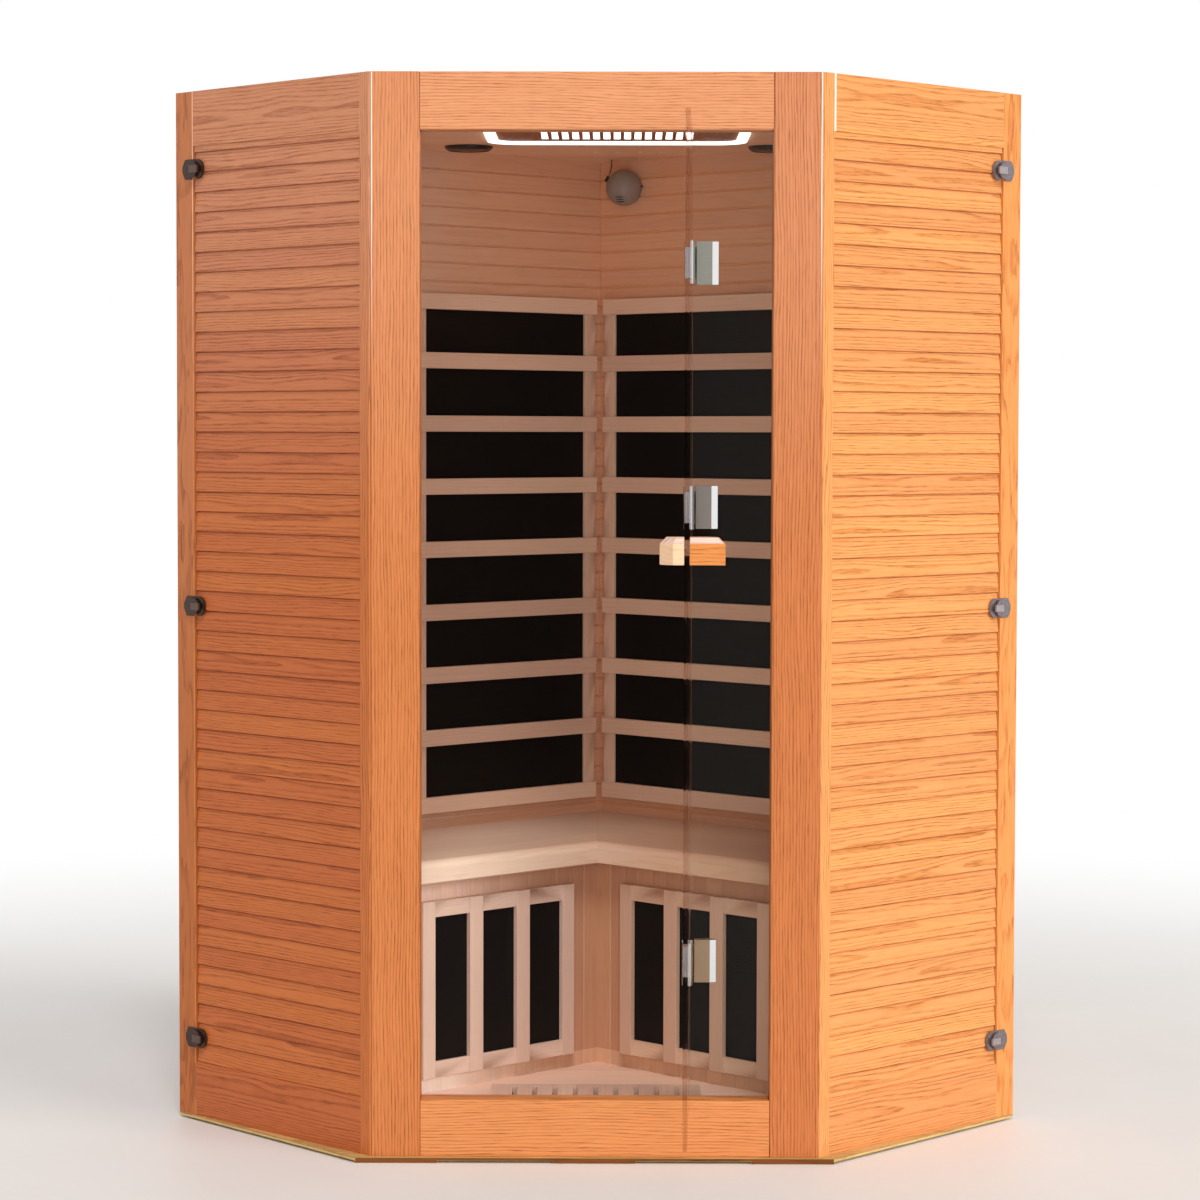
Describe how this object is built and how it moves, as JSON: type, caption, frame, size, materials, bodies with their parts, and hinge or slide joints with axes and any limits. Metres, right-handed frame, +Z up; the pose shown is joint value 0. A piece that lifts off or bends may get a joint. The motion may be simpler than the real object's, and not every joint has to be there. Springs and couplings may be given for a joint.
{
  "type": "infrared sauna cabin",
  "caption": "Corner infrared sauna cabin with slatted side panels, a glass door on clamp hinges, a V-shaped bench, carbon heaters behind guards, a lit ceiling and turn latches.",
  "frame": {"origin": "on the ground, under the middle runner, halfway between the front face and the rear corner", "axes": "+Z up, -Y out of the front (towards someone facing the door), +X to the right of someone facing the door"},
  "size_m": [1.5556, 1.6021, 1.9],
  "materials": {
    "stained_wood": "satin stain, visible grain",
    "pale_wood": "bare planed softwood",
    "plywood": "bare board",
    "heater": "matt black panel",
    "glass": "clear toughened",
    "hinge_metal": "satin",
    "latch_metal": "dark bronze",
    "lamp": "opal diffuser, lit",
    "speaker": "matt black",
    "ioniser": "grey plastic",
    "control": "dark panel with membrane keys",
    "power_unit": "light grey powder coat"
  },
  "bodies": {
    "cabin": {"base_plate": "plywood", "floor_panel": "pale_wood", "floor_heater": "heater", "floor_grille": "pale_wood", "back_wall_left": "pale_wood", "back_wall_right": "pale_wood", "side_panel_left": "stained_wood", "side_panel_right": "stained_wood", "side_slats_left": "stained_wood", "side_slats_right": "stained_wood", "front_post_left": "stained_wood", "front_post_right": "stained_wood", "front_header": "stained_wood", "front_threshold": "stained_wood", "fixed_glass": "glass", "hinge_fixed_top": "hinge_metal", "hinge_fixed_middle": "hinge_metal", "hinge_fixed_bottom": "hinge_metal", "bench_seat": "pale_wood", "bench_skirt": "pale_wood", "skirt_frame_left": "pale_wood", "skirt_frame_right": "pale_wood", "skirt_heater_left": "heater", "skirt_heater_right": "heater", "heater_guard_left": "pale_wood", "heater_guard_right": "pale_wood", "back_heater_left": "heater", "back_heater_right": "heater", "ceiling_panel": "pale_wood", "ceiling_light": "lamp", "light_louvre": "pale_wood", "speaker_left": "speaker", "speaker_right": "speaker", "power_box": "power_unit", "ioniser": "ioniser", "control_panel": "control", "latch_body_top_left": "latch_metal", "latch_body_top_right": "latch_metal", "latch_body_middle_left": "latch_metal", "latch_body_middle_right": "latch_metal", "latch_body_bottom_left": "latch_metal", "latch_body_bottom_right": "latch_metal", "latch_keeper_top_left": "latch_metal", "latch_keeper_top_right": "latch_metal", "latch_keeper_middle_left": "latch_metal", "latch_keeper_middle_right": "latch_metal", "latch_keeper_bottom_left": "latch_metal", "latch_keeper_bottom_right": "latch_metal"},
    "door": {"door_glass": "glass", "hinge_door_top": "hinge_metal", "hinge_door_middle": "hinge_metal", "hinge_door_bottom": "hinge_metal", "handle_outer": "stained_wood", "handle_inner": "pale_wood"},
    "cam_top_left": {"latch_cam_top_left": "latch_metal"},
    "cam_top_right": {"latch_cam_top_right": "latch_metal"},
    "cam_middle_left": {"latch_cam_middle_left": "latch_metal"},
    "cam_middle_right": {"latch_cam_middle_right": "latch_metal"},
    "cam_bottom_left": {"latch_cam_bottom_left": "latch_metal"},
    "cam_bottom_right": {"latch_cam_bottom_right": "latch_metal"}
  },
  "joints": [
    {"name": "door_hinge", "type": "hinge", "parent": "cabin", "child": "door", "pos_m": [0.162, -0.55657, 0.95], "axis": [0, 0, 1], "range_deg": [-88.4, 6.6]},
    {"name": "latch_turn_top_left", "type": "hinge", "parent": "cabin", "child": "cam_top_left", "pos_m": [-0.73468, -0.23938, 1.758], "axis": [-0.7071, -0.7071, 0], "range_deg": [0, 180]},
    {"name": "latch_turn_top_right", "type": "hinge", "parent": "cabin", "child": "cam_top_right", "pos_m": [0.73468, -0.23938, 1.758], "axis": [0.7071, -0.7071, 0], "range_deg": [0, 180]},
    {"name": "latch_turn_middle_left", "type": "hinge", "parent": "cabin", "child": "cam_middle_left", "pos_m": [-0.73468, -0.23938, 0.957], "axis": [-0.7071, -0.7071, 0], "range_deg": [0, 180]},
    {"name": "latch_turn_middle_right", "type": "hinge", "parent": "cabin", "child": "cam_middle_right", "pos_m": [0.73468, -0.23938, 0.957], "axis": [0.7071, -0.7071, 0], "range_deg": [0, 180]},
    {"name": "latch_turn_bottom_left", "type": "hinge", "parent": "cabin", "child": "cam_bottom_left", "pos_m": [-0.73468, -0.23938, 0.155], "axis": [-0.7071, -0.7071, 0], "range_deg": [0, 180]},
    {"name": "latch_turn_bottom_right", "type": "hinge", "parent": "cabin", "child": "cam_bottom_right", "pos_m": [0.73468, -0.23938, 0.155], "axis": [0.7071, -0.7071, 0], "range_deg": [0, 180]}
  ]
}
